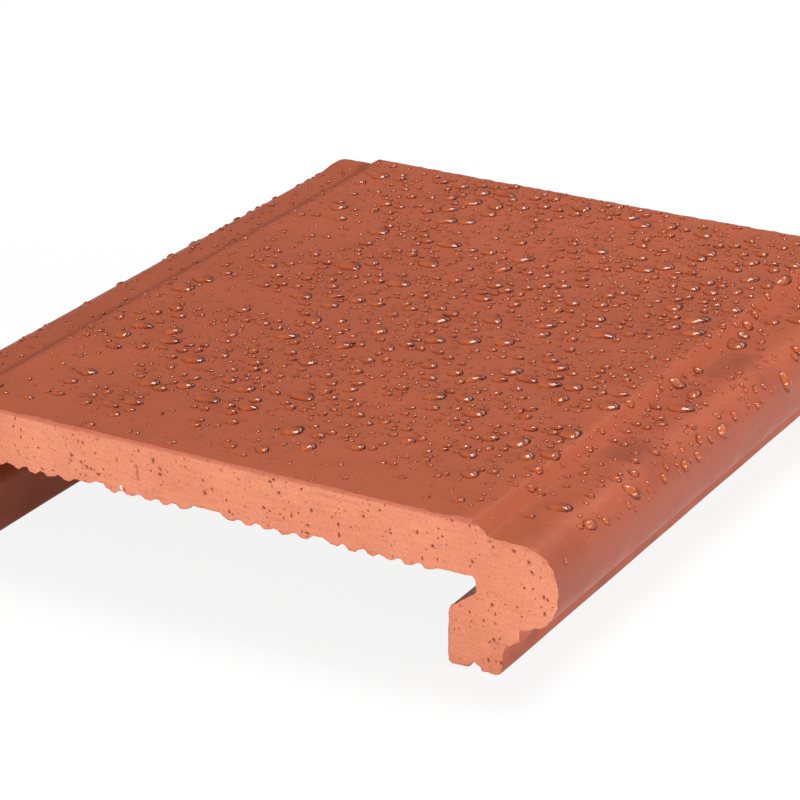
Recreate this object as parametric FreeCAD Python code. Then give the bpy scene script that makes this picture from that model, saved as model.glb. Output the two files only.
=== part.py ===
import FreeCAD, Part
import math
import os

# Terracotta wall coping: one extruded and fired clay unit that caps the top of a wall.
# Units are millimetres. X runs across the wall, Y along the extrusion, Z up.
# The origin is the middle of the footprint, on the level of the two legs' feet.
# The section is the same at both cut ends and is mirrored about x = 0, so every
# size below is given once, for the right-hand half.

# Overall sizes
length = 280.0
width = 250.0
height = 50.0

# Top: a flat panel with a lower shoulder along each long side
shoulder_width = 29.3
shoulder_drop = 4.5
riser_run = 4.9
panel_edge_radius = 0.9
riser_foot_radius = 1.5

# Rounded nose: its two radii are shares of the height of its outer face
nose_face_bottom = 21.3
nose_upper_share = 0.54
nose_lower_share = 0.50

# Drip below the nose, measured in from the nose and up from the feet
drip_inset = 12.9
drip_top = 16.7
drip_bottom = 12.7
drip_edge_radius = 1.0

# Leg
leg_outer_inset = 17.9
leg_root = 10.1
leg_taper = 1.0
leg_inner_inset = 37.5
foot_radius = 1.8
toe_radius = 1.8
leg_root_radius = 1.2

# Shallow groove under each leg
foot_groove_inset = 28.1
foot_groove_half_width = 2.5
foot_groove_depth = 2.8
foot_groove_radius = 0.8

# Undercut pocket between the panel's underside and the leg
pocket_inset = 28.0
pocket_wall = 5.2
pocket_slope_degrees = 36.3
pocket_lip_radius = 4.0
pocket_lower_radius = 1.5
pocket_upper_radius = 2.0

# Ribbed underside: two groups of mortar ridges on each half, with recesses between
slab_thickness = 18.7
ridge_height = 1.15
ridge_crest_half_width = 1.1
ridge_flank_run_per_rise = 1.4
ridge_radius = 0.7
recess_depth = 0.8
recess_radius = 0.4
first_ridge = 8.9
last_ridge_from_leg = 7.2
group_spacing = 10.9
inner_ridges = 5
outer_ridges = 6

# Derived levels and positions
half_width = width / 2
panel_half_width = half_width - shoulder_width
shoulder_z = height - shoulder_drop
nose_face_height = shoulder_z - nose_face_bottom
bed_z = height - slab_thickness
crest_z = bed_z - ridge_height
recess_z = bed_z + recess_depth
leg_inner_x = half_width - leg_inner_inset
pocket_x = half_width - pocket_inset
pocket_floor_z = bed_z - pocket_wall
pocket_slope = math.tan(math.radians(pocket_slope_degrees))
pocket_lip_z = pocket_floor_z - (pocket_x - leg_inner_x) * pocket_slope
last_ridge = leg_inner_x - last_ridge_from_leg
ridge_gaps = (inner_ridges - 1) + (outer_ridges - 1)
ridge_pitch = (last_ridge - first_ridge - group_spacing) / ridge_gaps


def top_corners():
    """Panel edge, riser and shoulder, as (x, z, corner radius)."""
    return [
        (panel_half_width, height, panel_edge_radius),
        (panel_half_width + riser_run, shoulder_z, riser_foot_radius),
    ]


def nose_corners():
    """Outer face of the nose, rounded over at the top and under at the bottom."""
    return [
        (half_width, shoulder_z, nose_upper_share * nose_face_height),
        (half_width, nose_face_bottom, nose_lower_share * nose_face_height),
    ]


def drip_corners():
    """Step under the nose that throws rainwater clear of the wall."""
    drip_x = half_width - drip_inset
    return [
        (drip_x, drip_top, drip_edge_radius),
        (drip_x, drip_bottom, drip_edge_radius),
        (half_width - leg_outer_inset, leg_root, leg_root_radius),
    ]


def leg_corners():
    """Foot, the groove under it, the toe and the leg's inner face."""
    groove_x = half_width - foot_groove_inset
    foot_x = half_width - leg_outer_inset - leg_taper
    return [
        (foot_x, 0.0, foot_radius),
        (groove_x + foot_groove_half_width, 0.0, foot_groove_radius),
        (groove_x, foot_groove_depth, foot_groove_radius),
        (groove_x - foot_groove_half_width, 0.0, foot_groove_radius),
        (leg_inner_x, 0.0, toe_radius),
        (leg_inner_x, pocket_lip_z, pocket_lip_radius),
    ]


def pocket_corners():
    """Upright end wall of the undercut pocket."""
    return [
        (pocket_x, pocket_floor_z, pocket_lower_radius),
        (pocket_x, bed_z, pocket_upper_radius),
    ]


def ridge_foot(rise):
    """Distance from a ridge's centre line to the foot of its flank."""
    return ridge_crest_half_width + rise * ridge_flank_run_per_rise


def ridge_corners(centre, outer_z, inner_z):
    """One ridge, from its outer foot at outer_z to its inner foot at inner_z."""
    outer_x = centre + ridge_foot(outer_z - crest_z)
    inner_x = centre - ridge_foot(inner_z - crest_z)
    return [
        (outer_x, outer_z, foot_round(outer_z)),
        (centre + ridge_crest_half_width, crest_z, ridge_radius),
        (centre - ridge_crest_half_width, crest_z, ridge_radius),
        (inner_x, inner_z, foot_round(inner_z)),
    ]


def foot_round(foot_z):
    """Rounding at a ridge's foot: tighter where it runs down into a recess."""
    return recess_radius if foot_z == recess_z else ridge_radius


def group_corners(first, count, outer_z):
    """A group of ridges, listed from the outermost one inwards."""
    corners = []
    for number in reversed(range(count)):
        centre = first + number * ridge_pitch
        outer_side = outer_z if number == count - 1 else bed_z
        inner_side = recess_z if number == 0 else bed_z
        corners += ridge_corners(centre, outer_side, inner_side)
    return corners


def underside_corners():
    """Both groups of ridges on one half of the underside."""
    outer_first = first_ridge + (inner_ridges - 1) * ridge_pitch + group_spacing
    outer = group_corners(outer_first, outer_ridges, bed_z)
    inner = group_corners(first_ridge, inner_ridges, recess_z)
    return outer + inner


def section_corners():
    """The whole section: the right half, then its mirror image."""
    right = top_corners() + nose_corners() + drip_corners() + leg_corners()
    right += pocket_corners() + underside_corners()
    left = [(-x, z, radius) for x, z, radius in reversed(right)]
    return right + left


def corner_arc(before, corner, after):
    """Start, middle and end of the arc that rounds one corner of the section."""
    point = FreeCAD.Vector(corner[0], 0, corner[1])
    back = (FreeCAD.Vector(before[0], 0, before[1]) - point).normalize()
    ahead = (FreeCAD.Vector(after[0], 0, after[1]) - point).normalize()
    half_angle = back.getAngle(ahead) / 2
    radius = corner[2]
    reach = radius / math.tan(half_angle)
    inward = (back + ahead).normalize()
    middle = point + inward * (radius / math.sin(half_angle) - radius)
    return point + back * reach, middle, point + ahead * reach


def section_wire(corners):
    """Straight runs joined by the rounding arcs, as one closed wire."""
    count = len(corners)
    arcs = []
    for i in range(count):
        arcs.append(corner_arc(corners[i - 1], corners[i], corners[(i + 1) % count]))
    edges = []
    for i, (start, middle, end) in enumerate(arcs):
        edges.append(Part.Arc(start, middle, end).toShape())
        edges.append(Part.LineSegment(end, arcs[(i + 1) % count][0]).toShape())
    return Part.Wire(edges)


def wall_coping():
    """The section extruded over the full length, centred along Y."""
    face = Part.Face(section_wire(section_corners()))
    face.translate(FreeCAD.Vector(0, -length / 2, 0))
    return face.extrude(FreeCAD.Vector(0, length, 0))


os.makedirs("parts", exist_ok=True)
wall_coping().exportStep("parts/wall_coping.step")
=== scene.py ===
import math
import random

import bpy
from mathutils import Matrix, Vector, noise
from mathutils.geometry import delaunay_2d_cdt


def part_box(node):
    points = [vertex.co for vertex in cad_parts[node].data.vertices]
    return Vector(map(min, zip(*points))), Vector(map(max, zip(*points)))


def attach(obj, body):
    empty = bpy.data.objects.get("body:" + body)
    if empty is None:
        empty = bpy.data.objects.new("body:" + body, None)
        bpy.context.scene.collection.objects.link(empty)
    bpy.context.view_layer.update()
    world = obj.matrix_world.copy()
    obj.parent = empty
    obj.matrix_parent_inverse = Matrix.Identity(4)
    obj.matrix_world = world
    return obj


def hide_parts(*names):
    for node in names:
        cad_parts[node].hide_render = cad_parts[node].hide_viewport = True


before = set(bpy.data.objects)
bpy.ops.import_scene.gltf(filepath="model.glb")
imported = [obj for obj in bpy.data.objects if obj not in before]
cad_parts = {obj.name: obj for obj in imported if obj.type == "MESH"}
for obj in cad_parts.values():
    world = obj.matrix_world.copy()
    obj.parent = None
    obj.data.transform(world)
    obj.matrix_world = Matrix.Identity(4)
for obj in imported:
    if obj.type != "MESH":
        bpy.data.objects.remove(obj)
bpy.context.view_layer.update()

MM = 0.001

# ---------------------------------------------------------------- frame sizes
low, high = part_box("wall_coping")
near_y = low.y
far_y = high.y
top_z = high.z
half_width = high.x
panel_half = half_width - 29.3 * MM      # edge of the raised panel
bed_z = top_z - 18.7 * MM                # underside of the slab
ridges_half = 84 * MM                    # the ridges lie between this and its mirror


# ---------------------------------------------------------------- outline
def cad_outline():
    """The section's outline in order, as (x, z), read from the CAD node's near end."""
    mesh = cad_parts["wall_coping"].data
    places = [(round(v.co.x, 6), round(v.co.y, 6), round(v.co.z, 6)) for v in mesh.vertices]
    links = {}
    for polygon in mesh.polygons:
        ids = list(polygon.vertices)
        if max(places[i][1] for i in ids) - min(places[i][1] for i in ids) < 0.1:
            continue
        for k, i in enumerate(ids):
            a, b = places[i], places[ids[k - 1]]
            if a[1] < near_y + 1e-5 and b[1] < near_y + 1e-5 and a != b:
                links.setdefault((a[0], a[2]), set()).add((b[0], b[2]))
                links.setdefault((b[0], b[2]), set()).add((a[0], a[2]))
    start = max(links, key=lambda p: (p[1], p[0]))
    loop, before, here = [start], None, start
    while True:
        step = [p for p in links[here] if p != before]
        step = min(step, key=lambda p: -p[0]) if before is None else step[0]
        if step == start:
            return loop
        loop.append(step)
        before, here = here, step


def evened(loop, longest, shortest):
    """The same outline with long runs divided and crowded points thinned."""
    kept = [loop[0]]
    for p in loop[1:]:
        if math.dist(p, kept[-1]) >= shortest:
            kept.append(p)
    out = []
    for k, p in enumerate(kept):
        q = kept[(k + 1) % len(kept)]
        parts = max(1, math.ceil(math.dist(p, q) / longest))
        for n in range(parts):
            t = n / parts
            out.append((p[0] + (q[0] - p[0]) * t, p[1] + (q[1] - p[1]) * t))
    return out


def outward(loop):
    """Outward unit normal at each point of the outline."""
    count = len(loop)
    area = sum(loop[k - 1][0] * loop[k][1] - loop[k][0] * loop[k - 1][1] for k in range(count))
    turn = 1 if area > 0 else -1
    normals = []
    for k in range(count):
        a, b = loop[k - 1], loop[(k + 1) % count]
        dx, dz = b[0] - a[0], b[1] - a[1]
        size = math.hypot(dx, dz) or 1.0
        normals.append((turn * dz / size, -turn * dx / size))
    return normals


# ---------------------------------------------------------------- body shape
def wobble(x, y, z, scale, seed=0.0):
    """Smooth noise between about -1 and 1, with waves of about the given size."""
    return noise.noise(Vector((x / scale + seed, y / scale - seed, z / scale + 2 * seed)))


def smooth(t):
    """A soft step from 0 to 1."""
    t = min(1.0, max(0.0, t))
    return t * t * (3 - 2 * t)


# Chips broken from the near arris: (x, z, radius, bite) in millimetres
NEAR_CHIPS = [
    (99.0, 48.2, 2.2, 1.2), (95.8, 49.9, 1.6, 0.9), (92.0, 50.0, 1.2, 0.7),
    (101.5, 45.6, 1.7, 1.0), (107.0, 45.5, 1.5, 1.0), (114.0, 45.0, 1.4, 0.8),
    (120.2, 42.4, 1.7, 1.0),
    (109.3, 45.4, 1.1, 0.7), (104.0, 45.5, 1.0, 0.35), (117.5, 44.2, 1.0, 0.45),
    (122.6, 40.6, 1.3, 0.7), (124.8, 31.0, 0.9, 0.35), (121.5, 21.6, 1.9, 0.7),
    (118.0, 18.9, 1.2, 0.5), (89.2, 1.9, 1.2, 0.7), (94.9, 1.1, 1.2, 0.6),
    (88.0, 14.0, 1.0, 0.3), (-46.6, 31.2, 2.0, 0.5), (-31.5, 29.9, 1.4, 0.6),
    (60.0, 30.1, 1.2, 0.4), (12.0, 31.0, 1.0, 0.3), (-70.0, 50.0, 1.2, 0.3),
]


def scattered_chips(loop, count, largest, where):
    """Small random chips along the outline at one end."""
    rng = random.Random(where)
    chips = []
    for _ in range(count):
        x, z = rng.choice(loop)
        radius = rng.uniform(0.35, 1.0) ** 1.5 * largest
        chips.append((x / MM, z / MM, radius, radius * rng.uniform(0.3, 0.75)))
    return chips


def chip_move(p, chips, end_y, into):
    """Moves a point out of every chip's bite, towards the inside of the body."""
    farthest = 3 * MM
    for cx, cz, radius, bite in chips:
        x, z = cx * MM, cz * MM
        if abs(p.x - x) > farthest or abs(p.z - z) > farthest:
            continue
        r = radius * MM
        centre = Vector((x, end_y - into * (r - bite * MM), z))
        gap = p - centre
        reach = gap.length
        rough = r * (1 + 0.25 * wobble(p.x, p.y, p.z, 0.9 * MM, cx))
        if reach < rough:
            p = p + Vector((0, into * (rough - reach) * 1.1, 0))
    return p


def ridge_wear(x, z):
    """The ridges aren't all alike: one on the left is almost missing."""
    if z > bed_z + 0.6 * MM or abs(x) > ridges_half:
        return 0.0
    missing_x = -46.9 * MM
    change = 0.35 * MM * wobble(x, 0, 0, 7 * MM, 3.1)
    lost = smooth(1 - abs(x - missing_x) / (5.0 * MM))
    return change + lost * max(0.0, bed_z + 0.5 * MM - z) - 0.25 * MM


def swell(x, y, z):
    """Long shallow waves of the skin, as a height in metres."""
    return 0.10 * MM * wobble(x, y, z, 34 * MM)


def far_dip(x, y):
    """The panel dips a little in the middle of its far edge."""
    deepest, run = 0.28 * MM, 120 * MM
    across = 1 - min(1.0, abs(x) / panel_half) ** 2
    return deepest * across * smooth((y - far_y) / run + 1)


def end_marks(x, z, y):
    """Height left by the cutting wire: a raised panel corner near, a raised lip far left."""
    if z < bed_z + 8 * MM:
        return 0.0
    corner_x, corner_rise = 91.0 * MM, 0.75 * MM
    lip_inner_x, lip_outer_x, lip_rise = -96 * MM, -122 * MM, 2.0 * MM
    corner = max(0.0, 1 - abs(x - corner_x) / (4.5 * MM))
    near = corner_rise * smooth(corner) * math.exp(-(y - near_y) / (3.5 * MM))
    lip = smooth((lip_inner_x - x) / (2 * MM)) * smooth((x - lip_outer_x) / (8 * MM))
    return near + lip_rise * lip * smooth(1 - (far_y - y - 4 * MM) / (4 * MM))


def skin_point(x, z, nx, nz, y):
    """Where one point of the extruded skin lies, with its waves and end wear."""
    edge = min(y - near_y, far_y - y)
    fine = math.exp(-edge / (1.6 * MM))
    under = smooth((bed_z + 1 * MM - z) / (2 * MM))
    out = swell(x, y, z)
    out += (0.03 + 0.10 * under) * MM * wobble(x, y / 14, z, 2.4 * MM, 1.7)
    out += fine * (0.26 + 0.20 * under) * MM * (wobble(x, y, z, 1.5 * MM, 5.3) - 0.12)
    if edge < 0.1 * MM:
        out += 0.24 * MM * wobble(x, y, z, 0.8 * MM, 8.8)
    p = Vector((x + nx * out, y, z + nz * out))
    if 0 < z < bed_z + 2 * MM and abs(x) < ridges_half:
        p.z += ridge_wear(x, z) * (0.75 + 0.25 * wobble(x, y, 0, 30 * MM, 9.0))
    if z > bed_z:
        p.z += end_marks(x, z, y) - far_dip(x, y)
    p.z = max(p.z, 0.0)
    return p


def stations():
    """Places along the extrusion, closer together near the two cut ends."""
    close = [0, 0.22, 0.5, 0.9, 1.4, 2.1, 3.0, 4.4, 6.5]
    places = [near_y + c * MM for c in close]
    steps = 82
    start, stop = places[-1], far_y - close[-1] * MM
    places += [start + (stop - start) * n / steps for n in range(1, steps)]
    places += [far_y - c * MM for c in reversed(close)]
    return places


# Marks placed one by one in the near end: a white fleck of grit beside a pit.
# Each is x and z in metres, half length and half width in millimetres, angle in
# radians, depth in millimetres and tone: 1 for a pit painted dark as shade in its
# hollow, -1 for a white fleck.
NEAR_MARKS = [
    (-32.4 * MM, 32.3 * MM, 0.9, 0.50, -1.20, 0.1, -1.0),
    (-31.2 * MM, 31.9 * MM, 0.7, 0.30, -1.20, 0.8, 1.0),
]


# A short upright crack in the near end, as (x, z), with its sizes, in millimetres
NEAR_CRACK = [(-26.5, 41.3), (-26.0, 39.7), (-26.3, 38.5), (-25.5, 36.6)]
CRACK_HALF_WIDTH = 0.48
CRACK_DEPTH = 1.2


def crack_points(path, rng):
    """Points along a crack: a sunk middle row, painted dark as shade in the crack, between two rows
    at the surface.
    """
    points = []
    for (ax, az), (bx, bz) in zip(path, path[1:]):
        run = math.hypot(bx - ax, bz - az)
        nx, nz = (bz - az) / run, (ax - bx) / run
        steps = math.ceil(run / 0.2)
        for k in range(steps):
            t = k / steps
            x, z = ax + (bx - ax) * t + rng.uniform(-0.05, 0.05), az + (bz - az) * t
            points.append((x * MM, z * MM, CRACK_DEPTH * MM, 1.0))
            for side in (-1, 1):
                w = side * CRACK_HALF_WIDTH * rng.uniform(0.7, 1.3)
                points.append(((x + nx * w) * MM, (z + nz * w) * MM, 0.0, 0.0))
    return points


def pit_list(count, seed, loop, marks):
    """Pits left by grit and air in a cut end: x, z, half length, half width, angle, depth, tone;
    tone 1 paints a pit dark as the shade in its hollow.
    """
    rng = random.Random(seed)
    pits = list(marks)
    tries = 0
    while len(pits) < count and tries < count * 60:
        tries += 1
        x = rng.uniform(-half_width, half_width)
        z = rng.uniform(0, top_z)
        size = 0.10 + 0.42 * rng.random() ** 3.2
        if not inside(x, z, loop, (size + 0.45) * MM):
            continue
        if any(math.hypot(x - p[0], z - p[1]) < (size + p[2] + 0.25) * MM for p in pits):
            continue
        stretch = rng.uniform(1.0, 2.1)
        angle = rng.gauss(-1.1, 0.6)
        pits.append((x, z, size * stretch, size, angle, rng.uniform(0.5, 1.1) * size * 1.5, 1.0))
    return pits


def inside(x, z, loop, margin):
    """True if a point is inside the outline and at least margin from it."""
    hit = False
    ax, az = loop[-1]
    for bx, bz in loop:
        if (az > z) != (bz > z) and x < ax + (z - az) * (bx - ax) / (bz - az):
            hit = not hit
        if abs(bx - x) < margin and abs(bz - z) < margin:
            if math.hypot(bx - x, bz - z) < margin:
                return False
        ax, az = bx, bz
    return hit


def cap_points(loop, pits, crack, spacing, seed):
    """Points inside one cut end: a jittered grid, the crack, and rings round each pit."""
    rng = random.Random(seed)
    cell = 2 * MM
    cells = {}
    for number, pit in enumerate(pits):
        for i in (-1, 0, 1):
            for j in (-1, 0, 1):
                key = (int(pit[0] / cell) + i, int(pit[1] / cell) + j)
                cells.setdefault(key, []).append(number)
    split = crack_points(crack, rng)
    points = list(split)
    step = spacing * MM
    for i in range(int(2 * half_width / step) + 1):
        for j in range(int(top_z / step) + 1):
            x = -half_width + (i + 0.5 * (j % 2) + rng.uniform(-0.3, 0.3)) * step
            z = (j + 0.5 + rng.uniform(-0.3, 0.3)) * step
            near = [pits[n] for n in cells.get((int(x / cell), int(z / cell)), ())]
            if any(math.hypot(x - p[0], z - p[1]) < 1.35 * p[2] * MM for p in near):
                continue
            if any(math.hypot(x - p[0], z - p[1]) < 0.3 * MM for p in split):
                continue
            if inside(x, z, loop, 0.42 * step):
                points.append((x, z, 0.0, 0.0))
    for x, z, length, breadth, angle, depth, tone in pits:
        ca, sa = math.cos(angle), math.sin(angle)
        # The inner rings and the middle of each pit carry its painted shade.
        for share, sink, dark in ((1.2, 0.0, 0.0), (0.85, 0.4, 0.75), (0.5, 0.9, 1.0)):
            corners = 8 if length > 0.4 else 5
            for k in range(corners):
                t = math.tau * (k + rng.uniform(-0.3, 0.3)) / corners
                wide = share * rng.uniform(0.7, 1.2)
                u = length * wide * math.cos(t) * MM
                v = breadth * wide * math.sin(t) * MM
                px, pz = x + ca * u - sa * v, z + sa * u + ca * v
                points.append((px, pz, sink * depth * MM, dark * tone))
        points.append((x, z, depth * MM, tone))
    return points


def tear(x, z, seed):
    """Shallow horizontal tears and grain in a cut end, as a depth in metres."""
    lines = wobble(x / 7, seed, z, 0.8 * MM, seed)
    grain = wobble(x, seed, z, 0.9 * MM, seed + 4)
    waves = wobble(x, seed, z, 16 * MM, seed + 8)
    return (0.07 * abs(lines) + 0.06 * grain + 0.10 * waves) * MM


def make_body():
    """One mesh for the fired unit: the extruded skin and the two cut ends."""
    loop = evened(cad_outline(), 2.1 * MM, 0.42 * MM)
    normals = outward(loop)
    count = len(loop)
    places = stations()
    near_chips = NEAR_CHIPS + scattered_chips(loop, 300, 1.25, 5)
    far_chips = scattered_chips(loop, 150, 1.0, 6)
    chip_reach = 3.5 * MM
    verts, faces, skin, pit = [], [], [], []
    for y in places:
        for (x, z), (nx, nz) in zip(loop, normals):
            p = skin_point(x, z, nx, nz, y)
            if y - near_y < chip_reach:
                p = chip_move(p, near_chips, near_y, 1)
            if far_y - y < chip_reach:
                p = chip_move(p, far_chips, far_y, -1)
            verts.append(p)
            pit.append(0.0)
    for j in range(len(places) - 1):
        for i in range(count):
            k = (i + 1) % count
            faces.append((j * count + i, j * count + k, (j + 1) * count + k, (j + 1) * count + i))
            skin.append(0)
    # Each end: ring of the skin, y, way in, chips, grid spacing, pits, seed and marks
    ends = (
        (0, near_y, 1, near_chips, 0.62, 560, 11, NEAR_MARKS, NEAR_CRACK),
        (len(places) - 1, far_y, -1, far_chips, 1.05, 150, 12, [], []),
    )
    for ring, end_y, into, chips, spacing, pit_count, seed, marks, crack in ends:
        pits = pit_list(pit_count, seed, loop, marks)
        inner = cap_points(loop, pits, crack, spacing, seed)
        edge = [verts[ring * count + i] for i in range(count)]
        flat = [Vector((p.x / MM, p.z / MM)) for p in edge]
        flat += [Vector((p[0] / MM, p[1] / MM)) for p in inner]
        rims = [(i, (i + 1) % count) for i in range(count)]
        out = delaunay_2d_cdt(flat, rims, [], 0, 1e-5, True)
        outline = [tuple(p) for p in flat[:count]]
        where = {}
        for number, sources in enumerate(out[3]):
            source = min(sources) if sources else None
            if source is not None and source < count:
                where[number] = ring * count + source
                continue
            x, z = out[0][number][0] * MM, out[0][number][1] * MM
            sink, dark = (inner[source - count][2:] if source is not None else (0.0, 0.0))
            p = Vector((x, end_y + into * (sink + max(0.0, tear(x, z, seed) + 0.05 * MM)), z))
            where[number] = len(verts)
            verts.append(chip_move(p, chips, end_y, into))
            pit.append(dark)
        for triangle in out[2]:
            x, z = (sum(out[0][n][axis] for n in triangle) / 3 for axis in (0, 1))
            if not inside(x, z, outline, 0.0):
                continue
            ids = [where[n] for n in triangle]
            faces.append(ids if into > 0 else ids[::-1])
            skin.append(1)
    mesh = bpy.data.meshes.new("coping_body")
    mesh.from_pydata([tuple(v) for v in verts], [], faces)
    mesh.polygons.foreach_set("material_index", skin)
    mesh.polygons.foreach_set("use_smooth", [True] * len(faces))
    # pit: 1 is painted shade in pits and the crack, -1 a white fleck of grit.
    dark = mesh.attributes.new("pit", "FLOAT", "POINT")
    dark.data.foreach_set("value", pit)
    return mesh, loop


body_mesh, loop = make_body()
body = bpy.data.objects.new("coping_body", body_mesh)
bpy.context.scene.collection.objects.link(body)


# ---------------------------------------------------------------- materials
class Nodes:
    """Short ways to add and join nodes in one material."""

    def __init__(self, name):
        self.material = bpy.data.materials.new(name)
        self.material.use_nodes = True
        self.tree = self.material.node_tree
        self.shader = self.tree.nodes["Principled BSDF"]
        self.output = self.tree.nodes["Material Output"]
        self.place = self.add("ShaderNodeNewGeometry").outputs["Position"]

    def add(self, kind, **settings):
        node = self.tree.nodes.new(kind)
        for key, value in settings.items():
            setattr(node, key, value)
        return node

    def join(self, source, target):
        self.tree.links.new(source, target)

    def noise(self, scale, detail=4.0, rough=0.55, stretch=(1, 1, 1), offset=(0, 0, 0)):
        """Noise over the object's own position: scale is waves per metre."""
        shift = self.add("ShaderNodeMapping")
        shift.inputs["Scale"].default_value = stretch
        shift.inputs["Location"].default_value = offset
        self.join(self.place, shift.inputs["Vector"])
        node = self.add("ShaderNodeTexNoise")
        node.inputs["Scale"].default_value = scale
        node.inputs["Detail"].default_value = detail
        node.inputs["Roughness"].default_value = rough
        self.join(shift.outputs["Vector"], node.inputs["Vector"])
        return node.outputs["Fac"]

    def ramp(self, source, *stops):
        """Colour or grey by value: stops are (place, colour or grey)."""
        node = self.add("ShaderNodeValToRGB")
        elements = node.color_ramp.elements
        while len(elements) < len(stops):
            elements.new(0.5)
        for element, (place, colour) in zip(elements, stops):
            element.position = place
            grey = isinstance(colour, (int, float))
            element.color = (colour,) * 3 + (1,) if grey else tuple(colour) + (1,)
        self.join(source, node.inputs["Fac"])
        return node.outputs["Color"]

    def mix(self, fac, a, b, how="MIX"):
        """Mixes two colours; any of the three may be an output or a plain value."""
        node = self.add("ShaderNodeMix", data_type="RGBA", blend_type=how)
        for value, socket in ((fac, node.inputs[0]), (a, node.inputs[6]), (b, node.inputs[7])):
            if isinstance(value, bpy.types.NodeSocket):
                self.join(value, socket)
            elif isinstance(value, (int, float)):
                socket.default_value = value
            else:
                socket.default_value = tuple(value) + (1,)
        return node.outputs[2]

    def math(self, how, a, b=0.0):
        node = self.add("ShaderNodeMath", operation=how)
        for value, socket in zip((a, b), node.inputs):
            if isinstance(value, bpy.types.NodeSocket):
                self.join(value, socket)
            else:
                socket.default_value = value
        return node.outputs[0]

    def attribute(self, name):
        return self.add("ShaderNodeAttribute", attribute_name=name).outputs["Fac"]

    def bump(self, height, distance, strength=1.0, normal=None):
        node = self.add("ShaderNodeBump")
        node.inputs["Distance"].default_value = distance
        node.inputs["Strength"].default_value = strength
        self.join(height, node.inputs["Height"])
        if normal is not None:
            self.join(normal, node.inputs["Normal"])
        return node.outputs["Normal"]


# Where the top is painted darker across the unit: painted shade along the foot of the left riser
# and on the right riser, damp patches on the right shoulder, and a painted sheen and shade on the
# right nose's outer face. Strips are |x - middle| in centimetres, and the outer shoulder and nose
# face are shares of the half width.
LEFT_FOOT_X = -102.5 * MM
RIGHT_RISER_X = 98.4 * MM
PER_CENTIMETRE = 100.0
PER_HALF_WIDTH = 8.0


def strip(n, x, middle, *stops):
    """Strength of a strip that runs along the extrusion, by distance from its middle."""
    gap = n.math("ABSOLUTE", n.math("SUBTRACT", x, middle))
    return n.ramp(n.math("MULTIPLY", gap, PER_CENTIMETRE), *stops)


def painted_shade_sheen_and_damp(n, colour):
    """Painted shade along the left riser's foot and on the right riser, damp patches beside it, and
    painted sheen and shade on the nose.
    """
    across = n.add("ShaderNodeSeparateXYZ")
    n.join(n.place, across.inputs[0])
    x = across.outputs["X"]
    # Painted shade: a dark strip along the foot of the left riser, standing in for the shade beside
    # the step.
    foot = strip(n, x, LEFT_FOOT_X, (0.08, 0.62), (0.30, 0.0))
    colour = n.mix(foot, colour, (0.205, 0.044, 0.022))
    # Painted shade: the right riser is painted darker, as the side of the step that lies in shade.
    riser = strip(n, x, RIGHT_RISER_X, (0.18, 0.42), (0.36, 0.0))
    colour = n.mix(riser, colour, (0.270, 0.056, 0.028))
    share = n.math("MULTIPLY", x, PER_HALF_WIDTH)
    outer = n.ramp(share, (0.80, 0.0), (0.86, 1.0))
    puddle = n.ramp(n.noise(26, 3, 0.6, offset=(2, 7, 4)), (0.56, 0.0), (0.66, 0.8))
    colour = n.mix(n.math("MULTIPLY", outer, puddle), colour, (0.270, 0.062, 0.032))
    # Painted sheen and shade: the right nose's outer face is painted greyer for its sheen and
    # darker for its shade.
    face = n.ramp(share, (0.94, 0.0), (0.99, 0.7))
    return n.mix(face, colour, (0.250, 0.066, 0.042))


def skin_material():
    """Smooth fired clay skin, darkened by rain, with faint drag lines along the extrusion, painted
    shade by the risers and a painted sheen on the nose.
    """
    n = Nodes("wet_terracotta_skin")
    wide = n.ramp(n.noise(9, 3), (0.3, (0.362, 0.082, 0.037)), (0.7, (0.405, 0.094, 0.043)))
    cloud = n.ramp(n.noise(60, 5, offset=(3, 1, 2)), (0.32, 0.86), (0.68, 1.05))
    colour = n.mix(0.45, wide, cloud, "MULTIPLY")
    lines = n.ramp(n.noise(900, 3, stretch=(1, 0.03, 1)), (0.35, 0.92), (0.65, 1.04))
    colour = n.mix(0.45, colour, lines, "MULTIPLY")
    specks = n.ramp(n.noise(1500, 2, 0.6), (0.66, 0.0), (0.74, 1.0))
    colour = n.mix(n.math("MULTIPLY", specks, 0.35), colour, (0.60, 0.22, 0.13))
    grit = n.ramp(n.noise(700, 2, 0.6, offset=(7, 3, 1)), (0.70, 0.0), (0.78, 1.0))
    colour = n.mix(n.math("MULTIPLY", grit, 0.4), colour, (0.20, 0.045, 0.03))
    n.join(painted_shade_sheen_and_damp(n, colour), n.shader.inputs["Base Color"])
    rough = n.ramp(n.noise(110, 4, offset=(1, 5, 9)), (0.3, 0.40), (0.7, 0.52))
    n.join(rough, n.shader.inputs["Roughness"])
    n.shader.inputs["Specular IOR Level"].default_value = 0.14
    height = n.math("ADD", n.noise(650, 4, 0.6), n.math("MULTIPLY", lines, 0.5))
    n.join(n.bump(height, 0.00014, 0.7), n.shader.inputs["Normal"])
    return n.material


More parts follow.
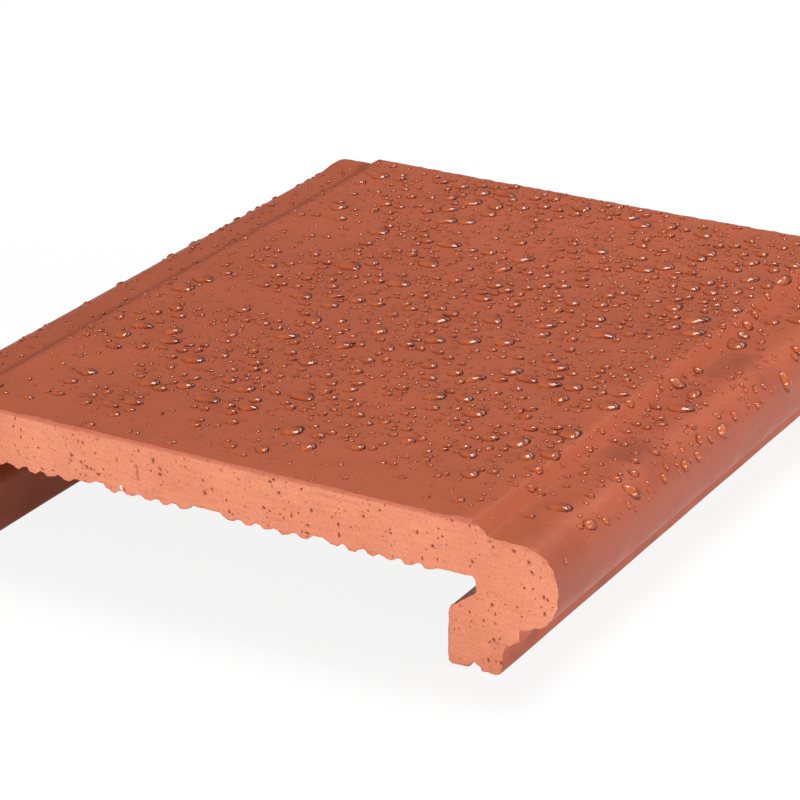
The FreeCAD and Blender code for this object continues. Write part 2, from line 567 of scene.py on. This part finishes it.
def cut_material():
    """Dry wire-cut clay: paler, with pits and a crack painted dark as shade in their hollows, fine
    tear marks and a darker band at its top.
    """
    n = Nodes("cut_terracotta")
    wide = n.ramp(n.noise(35, 4), (0.3, (0.598, 0.194, 0.109)), (0.7, (0.680, 0.248, 0.144)))
    tears = n.ramp(n.noise(700, 4, 0.6, stretch=(0.16, 1, 1)), (0.32, 0.84), (0.62, 1.05))
    colour = n.mix(0.5, wide, tears, "MULTIPLY")
    speck = n.ramp(n.noise(1300, 3, 0.7, offset=(2, 2, 2)), (0.36, 0.62), (0.54, 1.02))
    colour = n.mix(0.38, colour, speck, "MULTIPLY")
    pale = n.ramp(n.noise(900, 2, 0.6, offset=(9, 9, 9)), (0.68, 0.0), (0.76, 1.0))
    colour = n.mix(n.math("MULTIPLY", pale, 0.5), colour, (0.92, 0.45, 0.32))
    # Painted shade: pits and the crack are painted near black, as the shade inside them.
    dark = n.ramp(n.attribute("pit"), (0.1, 0.0), (0.9, 1.0))
    colour = n.mix(n.math("MULTIPLY", dark, 0.85), colour, (0.22, 0.035, 0.02))
    white = n.ramp(n.math("MULTIPLY", n.attribute("pit"), -1.0), (0.3, 0.0), (0.8, 1.0))
    colour = n.mix(white, colour, (0.85, 0.80, 0.74))
    dash = n.noise(420, 3, 0.6, stretch=(0.22, 1, 1.3), offset=(4, 0, 6))
    dash = n.ramp(dash, (0.63, 0.0), (0.70, 1.0))
    colour = n.mix(n.math("MULTIPLY", dash, 0.30), colour, (0.36, 0.085, 0.05))
    level = n.add("ShaderNodeSeparateXYZ")
    n.join(n.place, level.inputs[0])
    band_z = top_z - 2.3 * MM
    edge = n.math("MULTIPLY", n.math("SUBTRACT", level.outputs["Z"], band_z), 700)
    edge = n.math("ADD", edge, n.math("SUBTRACT", n.noise(500, 3, offset=(5, 5, 5)), 0.6))
    edge = n.ramp(edge, (0.25, 0.0), (0.8, 1.0))
    colour = n.mix(n.math("MULTIPLY", edge, 0.85), colour, (0.46, 0.125, 0.074))
    n.join(colour, n.shader.inputs["Base Color"])
    n.shader.inputs["Roughness"].default_value = 0.85
    n.shader.inputs["Specular IOR Level"].default_value = 0.2
    height = n.math("ADD", n.noise(1100, 4, 0.65), n.noise(500, 3, 0.6, stretch=(0.2, 1, 1)))
    n.join(n.bump(height, 0.00013, 0.5), n.shader.inputs["Normal"])
    return n.material


def water_material():
    """Rain water on wet clay: clear, warm from the clay below, with a painted caustic that
    brightens each drop away from the window lamp and painted shade at its rim and on its side
    towards the lamp.
    """
    n = Nodes("rain_water")
    dark, middle, bright = (0.110, 0.020, 0.012), (0.50, 0.108, 0.042), (0.82, 0.205, 0.070)
    # Painted light: glow runs from painted shade at the rim to a painted caustic on the side away
    # from the window lamp.
    tone = n.ramp(n.attribute("glow"), (0.04, dark), (0.42, middle), (0.9, bright))
    n.join(tone, n.shader.inputs["Base Color"])
    s = n.shader.inputs
    s["Transmission Weight"].default_value = 0.5
    s["Roughness"].default_value = 0.03
    s["IOR"].default_value = 1.333
    return n.material


body_mesh.materials.append(skin_material())
body_mesh.materials.append(cut_material())
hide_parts("wall_coping")
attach(body, "root")


# ---------------------------------------------------------------- rain drops
def top_track(loop):
    """The upper outline from the left nose to the right one, with lengths along it."""
    nose = [p for p in loop if p[1] > top_z - 22 * MM and abs(p[0]) > 100 * MM]
    panel = [p for p in loop if p[1] > bed_z + 9 * MM and abs(p[0]) <= 100 * MM]
    upper = nose + panel
    upper.sort(key=lambda p: math.atan2(p[0], p[1] + 0.25))
    lengths = [0.0]
    for a, b in zip(upper, upper[1:]):
        lengths.append(lengths[-1] + math.dist(a, b))
    return upper, lengths


upper, lengths = top_track(loop)


def on_top(s):
    """Point (x, z) and outward normal at a length along the upper outline."""
    s = min(max(s, lengths[0]), lengths[-1] - 1e-6)
    lo, hi = 0, len(lengths) - 1
    while hi - lo > 1:
        mid = (lo + hi) // 2
        if lengths[mid] <= s:
            lo = mid
        else:
            hi = mid
    a, b = upper[lo], upper[lo + 1]
    t = (s - lengths[lo]) / ((lengths[lo + 1] - lengths[lo]) or 1)
    dx, dz = b[0] - a[0], b[1] - a[1]
    size = math.hypot(dx, dz) or 1
    return a[0] + dx * t, a[1] + dz * t, -dz / size, dx / size


# Each drop is painted darker towards this side and lighter away from it, for the light
# that it gathers (along the skin, along the extrusion)
WINDOW = (0.55, 0.83)
HIGHEST_DROP = 1.35 * MM
RIM_SINK = 0.10 * MM


class Drops:
    """One piece holding every drop of one size class."""

    def __init__(self, name, corners, rings):
        self.name, self.corners, self.rings = name, corners, rings
        self.verts, self.faces, self.glow = [], [], []

    def add(self, s, y, radius, stretch, turn, contact, rng):
        """One drop: a cap that meets the skin at the contact angle, with an uneven rim."""
        corners, rings = self.corners, self.rings
        bends = [(k, rng.uniform(-1, 1) * 0.24 / k, rng.uniform(0, math.tau)) for k in (2, 3, 4)]
        ca, sa = math.cos(turn), math.sin(turn)
        start = len(self.verts)
        peak = radius * math.tan(contact / 2)
        flatten = min(1.0, HIGHEST_DROP / peak)

        def put(u, v, h, share):
            x, z, nx, nz = on_top(s + u)
            h += swell(x, y + v, z)
            self.verts.append((x + nx * h, y + v, z + nz * h - far_dip(x, y + v)))
            lit = -(u * WINDOW[0] + v * WINDOW[1]) / radius
            # Painted shade: the rim of each drop is painted darker.
            self.glow.append(0.52 + 0.50 * lit - 0.42 * smooth((share - 0.72) / 0.28))

        for ring in range(rings):
            slope = contact * (1 - ring / rings)
            share = math.sin(slope) / math.sin(contact)
            rise = (math.cos(slope) - math.cos(contact)) / math.sin(contact)
            for k in range(corners):
                t = math.tau * k / corners
                wave = sum(b * math.cos(n * t + f) for n, b, f in bends)
                wide = radius * share * (1 + share * wave)
                a, b = wide * stretch * math.cos(t), wide / stretch * math.sin(t)
                h = flatten * rise * radius if ring else -RIM_SINK
                put(ca * a - sa * b, sa * a + ca * b, h, share)
        put(0, 0, flatten * peak, 0.0)
        for ring in range(rings - 1):
            for k in range(corners):
                q = (k + 1) % corners
                a, b = start + ring * corners, start + (ring + 1) * corners
                self.faces.append((a + k, a + q, b + q, b + k))
        last, top = start + (rings - 1) * corners, len(self.verts) - 1
        for k in range(corners):
            self.faces.append((last + k, last + (k + 1) % corners, top))
        self.faces.append(tuple(start + k for k in reversed(range(corners))))

    def finish(self, material):
        mesh = bpy.data.meshes.new(self.name)
        mesh.from_pydata(self.verts, [], self.faces)
        mesh.polygons.foreach_set("use_smooth", [True] * len(self.faces))
        mesh.attributes.new("glow", "FLOAT", "POINT").data.foreach_set("value", self.glow)
        mesh.materials.append(material)
        drops = bpy.data.objects.new(self.name, mesh)
        bpy.context.scene.collection.objects.link(drops)
        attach(drops, "root")


# Drops of each class: piece, how many, smallest and largest radius in millimetres
RAIN = (
    (Drops("rain_large", 24, 7), 185, 2.4, 4.3),
    (Drops("rain_middle", 16, 5), 430, 1.6, 2.3),
    (Drops("rain_small", 12, 4), 1050, 0.9, 1.5),
    (Drops("rain_fine", 8, 3), 2300, 0.3, 0.9),
)


def rain():
    """Scatters the drops over everything that faces up, largest first, none overlapping."""
    rng = random.Random(7)
    cell = 5 * MM
    taken = {}

    def free(s, y, r):
        i, j = int(s / cell), int((y - near_y) / cell)
        around = [taken.get((a, b), ()) for a in (i - 1, i, i + 1) for b in (j - 1, j, j + 1)]
        for s2, y2, r2 in (other for group in around for other in group):
            if math.hypot(s - s2, y - y2) < 1.05 * (r + r2):
                return False
        taken.setdefault((i, j), []).append((s, y, r))
        return True

    water = water_material()
    for drops, count, small, large in RAIN:
        made, tries = 0, 0
        while made < count and tries < count * 12:
            tries += 1
            s = rng.uniform(0.0, lengths[-1])
            y = rng.uniform(near_y, far_y)
            r = (small + (large - small) * rng.random() ** 1.4) * MM
            x, z, nx, nz = on_top(s)
            from_end = (y - near_y - 4 * MM) / (70 * MM)
            wet = 0.12 + 0.88 * smooth(from_end + 0.15 * wobble(s, y, 0, 30 * MM))
            patch = 0.75 + 0.6 * wobble(s, y, 0, 38 * MM, 2.2)
            beside = 0.40 if x < -60 * MM else 0.55 if x > 96 * MM else 1.0
            if large > 2 and x < -92 * MM or large > 1 and abs(x + 101 * MM) < 3 * MM:
                continue
            if rng.random() > wet * patch * beside or nz < 0.45:
                continue
            if min(y - near_y, far_y - y) < r * 1.3 or not free(s, y, r):
                continue
            stretch = 1 + abs(rng.gauss(0, 0.15))
            contact = math.radians(rng.uniform(44, 68))
            drops.add(s, y, r, stretch, rng.gauss(0.9, 0.6), contact, rng)
            made += 1
        drops.finish(water)


rain()


# ---------------------------------------------------------------- stage
def floor_material():
    """White paper: it takes shadows, and part of what is seen of it is its own glow."""
    n = Nodes("white_floor")
    n.shader.inputs["Base Color"].default_value = (0.86, 0.86, 0.86, 1)
    n.shader.inputs["Roughness"].default_value = 0.9
    glow = n.add("ShaderNodeEmission")
    glow.inputs["Color"].default_value = (1, 1, 1, 1)
    glow.inputs["Strength"].default_value = 1.0
    seen = n.add("ShaderNodeLightPath")
    direct = n.math("MAXIMUM", seen.outputs["Is Camera Ray"], seen.outputs["Is Transmission Ray"])
    direct = n.math("MAXIMUM", direct, seen.outputs["Is Glossy Ray"])
    share = n.math("MULTIPLY", direct, 0.88)
    blend = n.add("ShaderNodeMixShader")
    n.join(share, blend.inputs["Fac"])
    n.join(n.shader.outputs["BSDF"], blend.inputs[1])
    n.join(glow.outputs["Emission"], blend.inputs[2])
    n.join(blend.outputs["Shader"], n.output.inputs["Surface"])
    return n.material


floor_mesh = bpy.data.meshes.new("floor")
side = 6.0
floor_z = -0.1 * MM
corners = [(x * side, y * side, floor_z) for x, y in ((-1, -1), (1, -1), (1, 1), (-1, 1))]
floor_mesh.from_pydata(corners, [], [(0, 1, 2, 3)])
floor_mesh.materials.append(floor_material())
floor = bpy.data.objects.new("floor", floor_mesh)
bpy.context.scene.collection.objects.link(floor)

world = bpy.data.worlds.new("studio")
bpy.context.scene.world = world
world.use_nodes = True
world.node_tree.nodes["Background"].inputs["Color"].default_value = (1, 1, 1, 1)
world.node_tree.nodes["Background"].inputs["Strength"].default_value = 0.25


def lamp(name, place, aim, size, power):
    """An area lamp at a place, turned towards its aim: metres and watts."""
    light = bpy.data.lights.new(name, "AREA")
    light.shape = "RECTANGLE"
    light.size, light.size_y = size
    light.energy = power
    holder = bpy.data.objects.new(name, light)
    holder.location = place
    holder.rotation_mode = "QUATERNION"
    holder.rotation_quaternion = (Vector(aim) - Vector(place)).to_track_quat("-Z", "Y")
    bpy.context.scene.collection.objects.link(holder)
    return holder


lamp("key_high_right", (0.35, 1.0, 2.2), (0, 0, 0.03), (0.9, 0.9), 55)
glint = lamp("window", (0.62, 1.70, 1.25), (0, 0, 0.03), (1.7, 0.4), 9)
glint.visible_diffuse = False
glint.visible_transmission = False
receivers = bpy.data.collections.new("lit_by_window")
bpy.context.scene.collection.children.link(receivers)
for drops, *_ in RAIN:
    receivers.objects.link(bpy.data.objects[drops.name])
glint.light_linking.receiver_collection = receivers
lamp("front_fill", (0.1, -2.2, 0.32), (0.04, 0, 0.02), (1.8, 0.6), 39)
lamp("right_fill", (2.2, 0.3, 0.36), (0, 0, 0.02), (1.2, 0.5), 33)

# ---------------------------------------------------------------- camera
camera_data = bpy.data.cameras.new("camera")
camera_data.lens = 148.2
camera_data.sensor_width = 36.0
camera_data.clip_start = 0.05
camera = bpy.data.objects.new("camera", camera_data)
turn, rise = math.radians(29.55), math.radians(22.88)
back = Vector((math.sin(turn) * math.cos(rise), -math.cos(turn) * math.cos(rise), math.sin(rise)))
camera.location = (0.5202, -0.9331, 0.4690)
camera.rotation_mode = "QUATERNION"
camera.rotation_quaternion = (-back).to_track_quat("-Z", "Y")
bpy.context.scene.collection.objects.link(camera)
bpy.context.scene.camera = camera
bpy.context.scene.view_settings.view_transform = "Standard"
